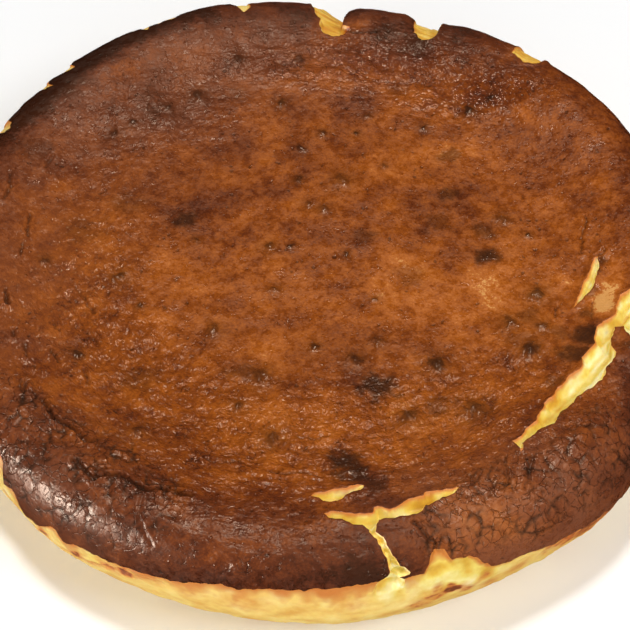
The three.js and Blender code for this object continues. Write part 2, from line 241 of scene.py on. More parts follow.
bareAreas = {  # open down to the custard: way its folds run (degrees), depth in mm and outline
    "frontShort": {"flow": 14, "depth": 2.2, "outline": [
        (0.2, -94.4), (1.2, -92.9), (4.5, -92.2), (7.9, -91.7), (10.7, -90.9), (14.9, -91), (13.5, -92.5),
        (11.7, -92.8), (10, -93.7), (8.5, -95.3), (7.1, -96.5), (5, -96.5), (3.3, -95.9), (2.4, -94.8),
    ]},
    "frontForked": {"flow": 12, "depth": 3, "outline": [
        (3.2, -101.7), (6.2, -100.8), (9.1, -101.1), (12.2, -101.7), (16.6, -101.3), (17.3, -99.6),
        (18.2, -98.9), (19.8, -99.6), (21, -100.3), (23, -99.8), (24.7, -98.4), (26.9, -96.5), (30.7, -95.9),
        (31.6, -94.7), (34.2, -93.9), (37.1, -93.6), (39.6, -93.8), (41.2, -92.8), (39.2, -95.5),
        (38, -96.2), (35.2, -97), (33.5, -97.9), (31.4, -99), (30, -101), (28.3, -101.9), (25, -102.8),
        (21.4, -103.3), (18.1, -103.9), (17.7, -105.1), (17.3, -107.4), (18.3, -108.2), (19.4, -109),
        (20, -110.6), (21.3, -112.7), (22.8, -114.4), (23.9, -116), (25.5, -116.6), (26.9, -117.6),
        (26.9, -118.7), (24.6, -119.7), (24.4, -120.1), (26.5, -120.6), (26, -126), (17, -126),
        (18.7, -121.2), (19.9, -120.6), (20.7, -119.4), (21.1, -118), (20.6, -116), (20.2, -114.3),
        (18.6, -111.8), (17.6, -109.5), (16.6, -108.8), (15.7, -107.6), (15.8, -106.9), (13.9, -105.5),
        (11.5, -105.3), (10.1, -104.5), (8.4, -103.8), (4.8, -103),
    ]},
    "rightLong": {"flow": 51, "depth": 3, "outline": [
        (58.6, -81.6), (58, -78.9), (56.7, -77.1), (59.2, -74.9), (61, -72.2), (64.3, -68.8), (65.9, -66.1),
        (66.9, -62.9), (70.1, -60.2), (70.7, -58.3), (72.6, -56.4), (73.9, -54.3), (75.2, -53),
        (78.3, -51.3), (79.5, -48.9), (79.6, -46.3), (81.2, -45), (82.9, -42.9), (84, -41.2), (83.9, -39.8),
        (84.6, -37.3), (85, -35), (87.5, -33), (89.9, -32.3), (91.3, -31), (91.5, -29), (92.7, -26),
        (93.7, -23.2), (96.5, -21.6), (100, -20.6), (104, -21.4), (108, -22.4), (111, -24.6), (114, -26.6),
        (118, -28), (122, -29), (129, -29.5), (129, -34.8), (122, -34.4), (118, -34.2), (113, -34.9),
        (108, -35.9), (103, -36.6), (98, -37), (96.6, -41), (96.4, -43.4), (95.3, -42.3), (94.2, -40.2),
        (93, -37.5), (93, -36.3), (90.6, -36.1), (90.3, -37.4), (88.7, -40.7), (88.6, -43.3), (89.6, -46.2),
        (89, -48.1), (86.2, -51.4), (84.4, -56.6), (81.4, -59), (80.1, -59.2), (76.5, -61.9), (75.1, -64.3),
        (72.4, -66.5), (71.2, -67.5), (70.2, -70.2), (69.1, -72.1), (66.8, -72.7), (64.4, -74.1),
        (61.7, -77), (59.4, -78.5), (59.5, -80.7),
    ]},
    "rightShort": {"flow": 65, "depth": 2.2, "outline": [
        (79.2, -25.5), (81.8, -20), (83.7, -15.7), (85.6, -12.5), (86.9, -9.1), (88.5, -6.1), (88.8, -9.2),
        (88.6, -11.2), (87.5, -14.9), (86.1, -17.9), (84.3, -20.5), (83, -22.5), (80.9, -24.1),
    ]},
    "tornFarA": {"flow": -25, "depth": 0.8, "outline": [
        (1.5, 107.8), (2, 104.6), (3.5, 102.5), (3.1, 100), (3.8, 97.5), (5.6, 95.8), (7.5, 94.9),
        (9.8, 94.8), (11.5, 95.5), (13.8, 96.8), (14, 99), (11.5, 99.9), (11.6, 103), (12.6, 108),
        (13.6, 114), (14.4, 121), (14, 131), (1, 131), (0, 118),
    ]},
    "tornFarB": {"flow": -30, "depth": 0.8, "outline": [
        (36.3, 99), (36.1, 96.1), (36.9, 95.2), (37.6, 93.4), (38.7, 91.8), (41.2, 91.1), (42.6, 91.8),
        (44.1, 93.3), (44.8, 96.2), (47.2, 103), (49.4, 111), (52, 122), (43, 126), (39.6, 115), (37.4, 106),
    ]},
    "tornFarC": {"flow": -40, "depth": 0.8, "outline": [
        (69.1, 83.5), (71.3, 81), (73.2, 78.3), (75.5, 77.4), (77.6, 77.8), (79.9, 80.7), (83, 85), (86, 91),
        (80, 97), (74, 92), (70.8, 87),
    ]},
}

tornPieces = {  # pieces off the rim: how far the floor is below the tear's start, by the way outwards
    "tornFarA": {"angle": 85.5, "start": 95, "slant": 0.09, "floor": [
        (0, 1.2), (8, 3), (15, 5.2), (20, 8.4), (24.5, 13)]},
    "tornFarB": {"angle": 67, "start": 99.5, "slant": 0.02, "floor": [
        (0, 1), (5, 2.2), (11, 4.4), (15.5, 7.9), (20, 13)]},
}

blisters = [  # x, y, radius: burnt bubbles of the skin
    (-10, 66, 1.6), (4, 52, 1.3), (19, 60, 1.3), (15, 52, 1), (-3, 45, 1.3), (-4, 31, 1.3), (10, 30, 2.3),
    (24, 37, 1), (-1, 20, 1.3), (4, 18, 1.6), (53, 61, 2), (61, 65, 1.3), (38, 54, 1.3), (61, 13, 1.9),
    (68, 6, 1), (69, -19, 2.3), (60, -30, 2.3), (69, -32, 1.9), (65, -41, 2.9), (47, -62, 2.9),
    (37, -45, 2.6), (-59, -11, 1.9), (-36, 5, 1), (-52, -22, 1), (-69, -42, 1.6), (-82, -6, 1.6),
    (1, -38, 1.6), (13, -43, 2.3), (20, -36, 1.6), (-11, -15, 1.3), (-13, 2, 1.6), (-6, 2, 1), (11, -1, 1),
    (20, -19, 1), (-29, -31, 1.9), (-15, -49, 2.6), (28, -64, 2.6), (-11, -72, 2.3), (-65, 50, 1.6),
    (-59, 55, 1.3), (-48, 62, 1.6), (-38, 69, 1.9), (-25, 85, 1.6), (-4, 86, 1.6), (-21, -60, 1.6),
    (-49, -71, 1.9),
]

burntPatches = [  # x, y, reach, strength
    (-40, 14, 4.5, 0.8), (45, 41, 4, 0.6), (44, 25, 4, 0.7), (55, -2, 4.5, 0.9), (55, 8, 4, 0.6),
    (20, -53, 6, 0.9), (17, 6, 4, 0.45), (82, -37, 6.5, 0.9), (78, -44, 5.5, 0.85), (75, -36, 4, 0.5),
    (94.5, -44, 3, 0.7), (9, -80, 5, 0.9), (13, -85, 4.5, 0.8), (18, -90, 4, 0.6), (83, -28, 3, 0.7),
    (90, -8, 2, 0.7), (-20, -48, 5, 0.5), (36, -60, 5, 0.5), (30, -10, 5, 0.35), (-58, 20, 6, 0.35),
    (-25, 70, 4, 0.3), (30, 72, 4, 0.25), (-72, 8, 7, 0.35), (-50, -50, 6, 0.4), (70, -55, 4, 0.5),
    (40, 12, 6, 0.4), (-90, 40, 7, 0.3), (-8, 84, 4, 0.25), (85, -20, 3, 0.5), (88, -12, 2, 0.6),
    (8, -86, 3, 0.8), (66, -27, 4, 0.5), (64, -37, 6, 0.4),
]

# The next seven lists are zones: x, y, reach along x, reach along y, strength.

browning = [  # more (+) or less (-) brown
    (-20, -114, 60, 11, 0.1), (10, -118, 24, 9, 0.12), (-70, -72, 20, 20, 0.06), (-85, 52, 34, 30, 0.12),
    (0, 100, 70, 16, 0.18), (70, 25, 22, 40, -0.05), (20, -15, 45, 30, -0.1), (-40, 14, 14, 9, 0.2),
    (-66, -94, 26, 18, 0.05), (30, 45, 26, 22, -0.05), (60, -20, 18, 18, -0.1), (20, -103, 12, 6, 0.12),
    (-8, -84, 24, 8, 0.02), (86, -35, 6, 10, 0.25), (-35, 75, 30, 18, 0.1), (45, 80, 30, 16, 0.1),
    (10, -80, 7, 5, 0.2), (15, -88, 6, 5, 0.2), (22, -97, 7, 4, 0.2), (52, -104, 20, 12, -0.25),
    (-28, 24, 18, 14, 0.08), (0, 62, 24, 8, 0.05), (50, 24, 14, 10, 0.2), (52, -1, 9, 6, 0.2),
    (-5, -30, 14, 8, 0.05), (-5, -52, 22, 10, 0.12), (16, -50, 12, 7, 0.16), (44, -52, 10, 6, 0.14),
    (-20, 44, 20, 8, 0.1), (84, -62, 11, 12, -0.1), (88.6, -26, 4.2, 6.5, -0.65), (93, -19, 3.5, 4, -0.35),
    (38, 90, 16, 10, 0.33), (-45, 62, 20, 14, 0.2), (-62, 30, 16, 14, 0.08), (-50, -94, 20, 12, 0.12),
    (46, -106, 16, 9, -0.15), (15, -64, 40, 14, -0.1), (88, 0, 10, 20, -0.1), (50, -106, 12, 8, -0.06),
    (96, -60, 10, 16, 0.14), (-8, 0, 24, 16, 0.09), (-13, -18, 16, 12, 0.07), (76, -6, 10, 10, 0.06),
    (94, -74, 16, 14, 0.15), (75, 40, 20, 24, 0.06), (20, 30, 40, 30, 0.05), (-60, -116, 46, 5, 0.08),
    (-30, -115, 18, 5, -0.2), (-30, -98, 16, 8, 0.07), (0, -121, 60, 4, 0.12), (17, 99, 5, 2, -0.2),
    (-50, -10, 22, 22, -0.05),
]

crackled = [  # where the skin has dried into small plates
    (-72, -84, 26, 20, 1), (-52, -98, 20, 14, 0.9), (-92, -62, 16, 20, 0.6), (60, -96, 30, 18, 0.9),
    (88, -76, 18, 18, 0.75), (104, -48, 14, 16, 0.5), (36, -106, 10, 10, 0.7), (-88, 30, 16, 40, 0.3),
    (-50, 80, 40, 14, 0.45), (40, 92, 50, 12, 0.35),
]

wrinkledZones = [
    (12, 84, 34, 8, 1), (58, 68, 26, 10, 0.9), (-50, 66, 22, 10, 0.25), (-70, -40, 22, 30, 0.7),
    (0, -72, 60, 16, 0.8), (-10, -116, 70, 9, 0.7), (-30, -45, 45, 30, 0.8), (30, -62, 35, 22, 0.7),
    (-60, -10, 20, 45, 0.5), (20, 88, 60, 12, 0.6), (-55, 60, 25, 20, 0.3), (-15, -90, 45, 14, 0.5),
    (70, -60, 20, 20, 0.4),
]

dullZones = [  # dry (+) or greasy (-)
    (-10, -112, 50, 9, 0.6), (12, 84, 30, 7, -1.2), (58, 68, 24, 9, -1.2), (-50, 66, 22, 12, -0.1),
    (-80, 0, 14, 40, -0.7), (24, -106, 18, 10, 0.7), (0, 100, 90, 22, 0.8), (-70, 75, 30, 30, 0.7),
    (70, 75, 30, 30, 0.6),
]

polishedZones = [  # taut and shiny on the shoulder
    (-80, -94, 13, 12, 1), (-58, -106, 18, 8, 1), (-36, -114, 14, 5, 0.7), (46, -106, 6, 5, 0.5),
]

sheenZones = [  # painted sheen: a pale greyish tone over the brown, standing in for the soft haze of light reflected off the skin
    (-60, 65, 50, 40, 0.28), (-20, 90, 50, 22, 0.28), (50, 85, 30, 20, 0.1), (-90, -10, 26, 60, 0.35),
    (-76, -92, 26, 22, 0.35), (66, -102, 40, 26, 0.6), (-20, -112, 50, 12, 0.1), (100, -60, 20, 30, 0.15),
    (52, -106, 14, 10, 0.15),
]

lemon = [  # paler, lemon-yellow custard on the side
    (38, -119, 9, 9, 1), (46, -121, 10, 8, 1), (23, -124, 6, 6, 0.9), (-104, -84, 8, 12, 0.9),
    (-66, -112, 9, 7, 0.8), (-92, -98, 8, 7, 0.6), (57, -118, 6, 6, 0.5),
]

creases = [  # folds and splits of the skin that stay shut: depth, path
    (1.1, [(-77, -62), (-75.2, -65.9), (-72.9, -69.8), (-70, -70.8), (-66.6, -73.1), (-64.2, -75.7),
           (-61.9, -77.4)]),
    (1.2, [(-66, -84.5), (-63.1, -86.8), (-60.2, -90.3), (-56.6, -89.4), (-52.4, -89.3), (-49, -91.8),
           (-45.7, -94.1), (-42.1, -93.5), (-38.4, -94.1), (-35.2, -94.9), (-32.6, -95.2)]),
    (0.2, [(-45.7, -94.1), (-46.5, -98), (-46.6, -102.4), (-44.9, -107.1), (-43.6, -109.9)]),
    (0.6, [(41.2, -92.8), (44.1, -92.3), (46.1, -89.6), (47.4, -87.3)]),
    (0.5, [(54.5, -82.3), (53.7, -84.7), (54, -87.9), (54.3, -91.6), (52.1, -93.6)]),
    (0.5, [(61.7, -83.1), (59.6, -90.8), (58.5, -93.4)]),
    (0.8, [(27.7, -104.6), (30.1, -106.6), (31.3, -108.7), (33.6, -109.9), (33.4, -112)]),
    (0.5, [(88.5, -6.1), (90.3, -5.4), (91.3, -3.5)]),
    (0.5, [(87.1, 11.2), (86.7, 7.6), (85.3, 5.1), (84.8, 1.6), (83.9, -4)]),
    (0.5, [(85, -24.3), (84.5, -27), (84.2, -31.3)]),
    (0.4, [(74.8, -23.4), (73.5, -28.1)]),
    (0.7, [(13.8, 96.8), (15.6, 96.5), (17.5, 95.9), (20.4, 95.9), (22.9, 96)]),
    (0.7, [(-88.8, 12.2), (-88.8, 9.3), (-89.2, 5.5), (-88.4, 3.2)]),
    (0.6, [(-89.5, 0), (-89.9, -2.6), (-90, -4.7)]),
    (1.3, [(-92.7, -21.3), (-91.8, -24), (-91.6, -25.7)]),
    (0.7, [(-88.5, -35.8), (-88, -38.1)]),
    (0.6, [(-84.5, -40.7), (-84.2, -43), (-83.4, -45.4)]),
    (0.8, [(-76.7, -41.3), (-75.3, -43.6), (-74, -45.8)]),
    (0.6, [(-66.8, -48.1), (-65.6, -50.6), (-64.8, -53.3)]),
    (0.6, [(-82.5, -55.6), (-82.8, -59.7)]),
    (0.8, [(-74.8, -66), (-73.7, -67.8), (-72.5, -69.7)]),
    (0.5, [(-71.9, -15.4), (-68.6, -20.4), (-65.5, -25.5)]),
    (0.5, [(-77.4, -30), (-75.3, -33)]),
    (0.4, [(-65.6, -34.5), (-63.3, -37.6)]),
    (0.6, [(-97, 28), (-96, 22), (-97.5, 17)]),
    (0.5, [(-84, 38), (-86, 33)]),
    (0.5, [(-12, -84), (-7, -85.5), (-2, -84.6), (3, -86)]),
    (0.4, [(-30, -80), (-25, -81.4), (-20, -80.6)]),
    (0.4, [(-4, -71), (1, -72), (5, -71.2)]),
]

scorched = [  # x, y, reach, strength: toasted places of the pale side
    (13.6, 97.8, 2.2, 0.9), (11.8, 100.6, 1.6, 0.6), (44, -128, 3.4, 1), (42.5, -125, 2, 0.8),
    (39, -130, 5.5, 0.55), (48, -127, 4, 0.5), (37.5, -124.5, 2, 0.5), (50.5, -129, 3, 0.6),
    (53, -123, 3, 0.5), (36, -137, 6, 0.5), (82, -108, 6, 0.6), (90, -104, 8, 0.7), (98, -98, 8, 0.7),
    (107, -90, 8, 0.6), (77, -112, 5, 0.5), (68, -121, 5, 0.4), (-58, -121, 3.5, 0.8), (-64, -119, 3, 0.7),
    (-76, -115, 3, 0.9), (-88, -107, 2.6, 0.9), (-97, -97, 2.8, 0.9), (-101, -92, 2.4, 0.8),
    (12, -130, 6, 0.3), (-20, -131, 8, 0.3), (60, -129, 5, 0.4), (-38, -127, 5, 0.35), (-80, 110, 8, 0.4),
    (60, 125, 9, 0.4), (-125, 10, 7, 0.4), (130, 30, 8, 0.4),
]

seam = [  # a toasted fold that runs along the pale side at the left
    (-106, -86), (-102.5, -91.6), (-98.6, -94.5), (-95.1, -99.9), (-90.5, -107), (-84.5, -112.5),
    (-78.8, -116.1), (-73.5, -118.8), (-67.3, -119.4), (-62.3, -119.9), (-54.6, -121.4), (-46, -124),
]


def roughOutline(corners, seed):  # a closed outline with ragged sides
    corners = np.array(corners, float)
    points = []
    for a, b in zip(corners, np.roll(corners, -1, axis=0)):
        steps = max(1, int(round(np.hypot(*(b - a)) / grid["outline"])))
        points += [a + (b - a) * i / steps for i in range(steps)]
    points = np.array(points)
    x, y = points.T
    wander = [layered(x, y, (0.4, 4, k), (0.3, 1.5, k + 1)) for k in (seed, seed + 2)]
    return points + np.stack(wander, axis=1)


def edgeWayAt(turn):  # way from the middle to the skin's lower edge, by the angle in degrees
    return np.interp(turn, *np.array(skinEdge, float).T)


def skinEdgeLoop():
    count = int(2 * np.pi * 128 / 0.6)  # points 0.6 mm apart
    turn = np.linspace(-180, 180, count, endpoint=False)
    way = edgeWayAt(turn)
    x, y = way * np.cos(np.radians(turn)), way * np.sin(np.radians(turn))
    hidden = smooth((np.abs(turn + 94) - 42) / 8)  # the listed points are sparse at the back
    way = way + lumps(x, y, 3, 5) * (0.5 + hidden) + lumps(x, y, 1.1, 6) * 0.3
    way = way + lumps(x, y, 9, 7) * 1.5 * hidden
    turn = np.radians(turn + hidden * layered(x, y, (0.8, 5, 8), (0.4, 2.2, 9)))
    return np.stack([way * np.cos(turn), way * np.sin(turn)], axis=1)


outlines = {
    name: roughOutline(area["outline"], 11 + 7 * i) for i, (name, area) in enumerate(bareAreas.items())}
edgeLoop = skinEdgeLoop()


def bareAt(x, y):  # mm inside the bare custard (minus: on the skin), for each area and for the side
    found = {name: insideOutline(x, y, outline)[0] for name, outline in outlines.items()}
    side = np.hypot(x, y) - edgeWayAt(np.degrees(np.arctan2(y, x)))
    close = np.abs(side) < 5
    side = np.clip(side, -6, 12)
    side[close] = -insideOutline(x[close], y[close], edgeLoop)[0]
    found["side"] = side
    return found


def gridPoints(spacing):  # rows of points, each row shifted by half a step
    reach = grid["reach"]
    rows = np.arange(-reach, reach, spacing * 0.866)
    x, y = np.meshgrid(np.arange(-reach, reach, spacing), rows)
    x = x + (np.arange(len(rows)) % 2)[:, None] * spacing / 2
    points = np.stack([x.ravel(), y.ravel()], axis=1)
    return points[np.hypot(*points.T) < reach]


def ringPoints():  # rings round the middle, their points as far apart as the rings are
    points = [np.zeros((1, 2))]
    way = 0
    turn = 0
    while way < sectionLength - 1.2:
        spacing = grid["top"] + (grid["side"] - grid["top"]) * float(smooth((way - 134) / 8))
        way += spacing * 0.9
        if way > sectionLength - 0.8:
            break
        count = max(6, int(round(2 * np.pi * np.interp(way, sectionWay, section[:, 0]) / spacing)))
        turn += 2.4
        angles = turn + np.arange(count) * 2 * np.pi / count
        points.append(np.stack([way * np.cos(angles), way * np.sin(angles)], axis=1))
    return np.concatenate(points)


def zoneAt(x, y, zones):
    total = np.zeros(len(x))
    for cx, cy, reachX, reachY, strength in zones:
        total += strength * np.exp(-((x - cx) / reachX) ** 2 - ((y - cy) / reachY) ** 2)
    return total


def levelAt(points):  # 0 coarse, 1 for crackle, 2 along edges; and how far from an outline
    x, y = points.T
    found = bareAt(x, y)
    cracks = np.max([found[name] for name in outlines], axis=0)
    side = found["side"]
    way, turn = np.hypot(x, y), np.degrees(np.arctan2(y, x))
    shown = (turn > grid["photographed"][0]) & (turn < grid["photographed"][1])
    near, far = grid["crackledWay"]
    level = np.zeros(len(x), int)
    level[(zoneAt(x, y, crackled[:7]) > 0.5) & (way < far) & (way > near)] = 1
    level[np.abs(side) < grid["edgeBand"]] = 1
    level[(np.abs(side) < grid["edgeBand"]) & shown] = 2
    level[(cracks > -grid["edgeBand"]) & (side < 4)] = 2
    for _, path in creases:
        level[awayFromPath(x, y, path, 3) < grid["edgeBand"]] = 2
    for cx, cy, radius in blisters:
        level[np.hypot(x - cx, y - cy) < grid["blisterBand"] * radius] = 2
    return level, np.min(np.abs(list(found.values())), axis=0)


def layOut():  # all points of the chart, and the edges that the triangles must keep to
    rim = int(round(2 * np.pi * cake["section"][-1][0] / grid["side"]))
    angles = np.arange(rim) * 2 * np.pi / rim
    points = [sectionLength * np.stack([np.cos(angles), np.sin(angles)], axis=1)]
    edges = [(i, (i + 1) % rim) for i in range(rim)]
    start = rim
    for loop in [*outlines.values(), edgeLoop]:
        points.append(loop)
        edges += [(start + i, start + (i + 1) % len(loop)) for i in range(len(loop))]
        start += len(loop)
    layers = [ringPoints(), gridPoints(grid["crackle"]), gridPoints(grid["edge"])]
    for fineness, (layer, keepOff) in enumerate(zip(layers, grid["keepOff"])):
        level, gap = levelAt(layer)
        points.append(layer[(level == fineness) & (gap > keepOff)])
    return np.concatenate(points), edges, rim


points, keptEdges, baseCount = layOut()
laid = delaunay_2d_cdt([Vector(p) for p in points.tolist()], keptEdges, [], 0, 1e-4, True)
chart = np.array([tuple(p) for p in laid[0]])
triangles = np.array(laid[2])
newIndex = {original: i for i, originals in enumerate(laid[3]) for original in originals}
baseRing = [newIndex[i] for i in range(baseCount)]
print("chart laid out:", len(chart), "points,", len(triangles), "triangles")


x, y = chart.T
way = np.minimum(np.hypot(x, y), sectionLength)
turn = np.arctan2(y, x)
bare = bareAt(x, y)
inside = np.max(list(bare.values()), axis=0)  # mm inside bare custard
cracks = np.max([bare[name] for name in outlines], axis=0)
side = bare["side"]
fade = smooth((sectionLength - way) / cake["baseFade"])
onSkin = inside < onEdge

lift = np.zeros(len(x))
for cx, cy, reach, rise in swells:
    lift += rise * np.exp(-((x - cx) ** 2 + (y - cy) ** 2) / reach ** 2)
polished = np.clip(zoneAt(x, y, polishedZones), 0, 1)
calm = 1 - relief["calmed"] * polished
lift += calm * layered(x, y, *relief["undulation"])
rim = cake["farRim"]
farRim = np.exp(-((np.degrees(turn) - rim["middle"]) / rim["reach"]) ** 2) * smooth((way - 100) / 10)
lift += rim["pucker"] * farRim * lumps(x, y, 4.2, 28) * onSkin

wrinkled = smooth((way - 35) / 40) * smooth((126 - way) / 8)
wrinkled = wrinkled * np.clip(0.12 + zoneAt(x, y, wrinkledZones), 0, 1)
for around, apart, share, bend, seed in relief["wrinkles"]:
    bentWay = way / apart + 0.35 * lumps(x, y, bend, seed)
    ripple = lumps(turn / (2 * np.pi) * around, bentWay, 1, seed + 1, around)
    lift += relief["wrinkle"] * share * calm * wrinkled * ripple * onSkin

crackle = np.clip(zoneAt(x, y, crackled), 0, 1) * smooth((132 - way) / 8)
fromGap, slant = plates(*bent(x, y, 0.9, 2.6, 35), relief["plate"], 37)
parted = smooth((crackle - 0.3) / 0.4) * smooth(0.5 + layered(x, y, (1.2, 6, 38), (0.4, 1.6, 39))) * onSkin
# the gaps are sunk below the plates here, and the material also paints them darker as shade
gapHere = parted * np.exp(-(fromGap / relief["gapWidth"]) ** 2)
lift += calm * parted * (relief["plateCurl"] * smooth(fromGap / 1.4) + relief["plateTilt"] * slant)
lift -= (0.4 + 0.6 * calm) * relief["plateGap"] * gapHere

char = np.zeros(len(x))
bentX, bentY = bent(x, y, 1.1, 2.6, 31)
spotty, smudgy = 0.35 * lumps(x, y, 0.9, 34), 0.5 * lumps(x, y, 3, 40)
for i, (cx, cy, radius) in enumerate(blisters):
    burnt = 0.65 + 0.35 * dice(np.array(i), np.array(0), 47)
    away = np.hypot(bentX - cx, bentY - cy) / radius
    lift += relief["blisterRise"] * radius * np.exp(-(away * 1.15) ** 2) * onSkin
    char = np.maximum(char, burnt * np.exp(-(np.maximum(away + spotty, 0) / 1.1) ** 4))
    char = np.maximum(char, 0.45 * np.exp(-(away + smudgy) ** 2 / 4))
patchy = layered(x, y, (0.6, 5, 33), (0.5, 2.2, 46))
for cx, cy, reach, strength in burntPatches:
    away = np.hypot(x - cx, (y - cy) * 1.2) / reach + patchy
    burnt = 0.55 * smooth((1 - away) / 0.35) + 0.45 * np.exp(-np.maximum(away, 0) ** 2)
    char = np.maximum(char, strength * burnt)

# painted shade: the skin's colour is darkened along the creases, where a groove holds shade
creaseShade = np.zeros(len(x))
raggedX, raggedY = [v + layered(x, y, (0.5, 1.8, 41 + i), (0.35, 0.9, 43 + i)) for i, v in enumerate((x, y))]
uneven = 1 + 0.5 * lumps(x, y, 3, 45)
for depth, path in creases:
    away = awayFromPath(raggedX, raggedY, path)
    width = (0.22 + 0.36 * depth) * uneven
    raised = 0.7 * np.exp(-((away - 1.2) / 0.65) ** 2)
    lift += onSkin * depth * (raised - np.exp(-(away / width) ** 2))
    creaseShade = np.maximum(creaseShade, min(depth + 0.1, 0.9) * np.exp(-(away / (0.8 * width)) ** 2))

# Skin side of a crack: a lip. Custard side: a wall, then a fluted floor.
lip = relief["lip"] * np.exp(-(np.minimum(cracks, 0) / relief["lipReach"]) ** 2) * smooth(-side / 3)
lift += np.where(cracks < onEdge, lip, 0)
drop = np.where(side > 0, cake["skinStep"] * smooth(side / 0.7), 0)
toast, fold = np.zeros(len(x)), np.zeros(len(x))
shredded = 0.4 * lumps(x + 0.2 * y, y / 4, 3.4, 55) * smooth(side / 2)
for name, area in bareAreas.items():
    depthIn = bare[name]
    within = depthIn > -onEdge
    evened = sum(np.roll(outlines[name], i, axis=0) for i in range(-7, 8)) / 15
    evenedDepth, wayOut = insideOutline(x, y, evened)
    facing = np.sign(evenedDepth) * (wayOut @ np.array((-0.6, 0.8)))  # the far left edge toasts most
    toast = np.where(within, np.maximum(toast, 0.05 + 0.75 * facing), toast)
    flow = math.radians(area["flow"])
    along, across = x * np.cos(flow) + y * np.sin(flow), y * np.cos(flow) - x * np.sin(flow)
    across = across + 0.5 * lumps(x, y, 5, 50)
    folds = lumps(along / 7, across, 1.7, 51) + 0.3 * lumps(along / 3, across, 0.9, 52)
    floor = np.minimum(area["depth"], 0.7 + 1.5 * depthIn) * smooth((8 - np.minimum(side, 6)) / 6)
    floor = floor * smooth(depthIn / relief["wall"] + 0.1) + relief["fluting"] * folds * smooth(depthIn / 1.2)
    drop = np.where(within, np.maximum(drop, floor), drop)
    # painted shade: the fold pattern is kept so that the custard is drawn darker in the grooves of its folds
    # and paler on their crests
    fold = np.where(within, folds, fold)
    lift += np.where(within & (side > 0), shredded, 0)
lobe = cake["lobe"]
onLobe = ((np.degrees(turn) > lobe["from"]) & (np.degrees(turn) < lobe["to"])) * smooth((way - 98) / 8)
nearTear = np.minimum(np.maximum(bare["tornFarA"], bare["tornFarB"]), 0)
drop += lobe["droop"] * onLobe * np.clip(1 + nearTear / lobe["over"], 0, 1) ** 2
drop += np.where(side > 0.3, layered(x, y, (0.3, 8, 53), (0.15, 3, 54)), 0)
drips = lumps(turn * 22 + 0.3 * lumps(x, y, 6, 58), way / 7, 1, 56)
drop -= relief["drips"] * smooth(side / 1.5) * np.clip(zoneAt(x, y, lemon[:3]), 0, 1) * (0.3 + drips)
# painted shade: the side's drips are drawn darker in their grooves and paler on their crests
fold = np.where((side > 0) & (cracks < 0), -drips, fold)
pale = np.clip(zoneAt(x, y, lemon), 0, 1)
edgeToast = (7 + 7 * lumps(x, y, 10, 57)) * (0.1 + 0.9 * smooth((way - 114) / 6)) * (1 - 0.8 * pale)  # mm
toast = np.where((side > -onEdge) & (cracks < onEdge), edgeToast, toast)
fromSeam = awayFromPath(*bent(x, y, 0.9, 4, 61), seam)
pinched = np.exp(-(fromSeam / 0.9) ** 2) - 0.5 * np.exp(-((fromSeam - 2) / 1.1) ** 2)
drop += np.where(side > 0, relief["seamDepth"] * pinched, 0)
lift = (lift - drop) * fade

radius = np.interp(way, sectionWay, section[:, 0])
height = np.interp(way, sectionWay, section[:, 1])
slopeOut = np.interp(way, sectionWay, sectionSlope[:, 0])
slopeUp = np.interp(way, sectionWay, sectionSlope[:, 1])
steep = np.hypot(slopeOut, slopeUp)
radius = radius - lift * slopeUp / steep
height = height + lift * slopeOut / steep

for name, torn in tornPieces.items():
    startHeight = np.interp(torn["start"], sectionWay, section[:, 1])
    startRadius = np.interp(torn["start"], sectionWay, section[:, 0])
    aside = turn - math.radians(torn["angle"])
    outward = radius * np.cos(aside) - startRadius
    across = 1 - torn["slant"] * radius * np.sin(aside)  # the floor slants, deeper to the right
    floor = startHeight - np.interp(outward, *zip(*torn["floor"])) * across + 0.4 * lumps(x, y, 4, 71)
    depthIn = bare[name]
    height = np.where(depthIn > 0, height - np.maximum(height - floor, 0) * smooth(depthIn / 1.2), height)

height = np.maximum(height, 0)
height[baseRing] = 0
shiftX, shiftY = cake["outlineShift"]
corners = np.stack([radius * np.cos(turn) + shiftX, radius * np.sin(turn) + shiftY, height], axis=1) * mm
print("relief worked out, height %.1f mm" % (height.max()))

middles = chart[triangles].mean(axis=1)
isBare = inside[triangles].mean(axis=1) > 0
unsure = np.abs(inside[triangles]).max(axis=1) < onEdge
isBare[unsure] = np.max(list(bareAt(*middles[unsure].T).values()), axis=0) > 0

scorchAndShade = np.zeros(len(x))
for cx, cy, reach, strength in scorched:
    away = np.hypot(x - cx, y - cy) / reach + 0.45 * lumps(x, y, 2.5, 83)
    scorchAndShade = np.maximum(scorchAndShade, strength * smooth(1.3 - away))
# painted shade: the torn places at the far rim are drawn darker, with a touch of the toasted colour and a
# deeper tone of the cut custard; the listed scorched places are real toasting
onTear = smooth(np.max([bare[name] for name in ("tornFarA", "tornFarB", "tornFarC")], axis=0) / 0.5)
scorchAndShade = np.maximum(scorchAndShade, 0.22 * onTear)
fold += 0.7 * onTear
dull = np.clip(zoneAt(x, y, dullZones), -1, 1)
# painted sheen: how far the skin's colour is mixed towards a pale greyish brown, as reflected light would
# make it look
paintedSheen = np.clip(zoneAt(x, y, sheenZones) * (1 + 0.7 * lumps(x, y, 12, 91)), 0, 0.7) * (1 - farRim)
brown = 0.36 + 0.16 * smooth((way - 70) / 40) + 0.1 * smooth((way - 106) / 14) + 0.5 * farRim
brown += zoneAt(x, y, browning) + layered(x, y, (0.14, 24, 81), (0.12, 10, 82))

mesh = bpy.data.meshes.new("cheesecake_whole")
mesh.from_pydata(corners.tolist(), [], [*triangles.tolist(), baseRing[::-1]])
cheesecake = bpy.data.objects.new("cheesecake_whole", mesh)
bpy.context.scene.collection.objects.link(cheesecake)
mesh.polygons.foreach_set("use_smooth", [True] * len(triangles) + [False])
mesh.polygons.foreach_set("material_index", [int(b) for b in isBare] + [1])
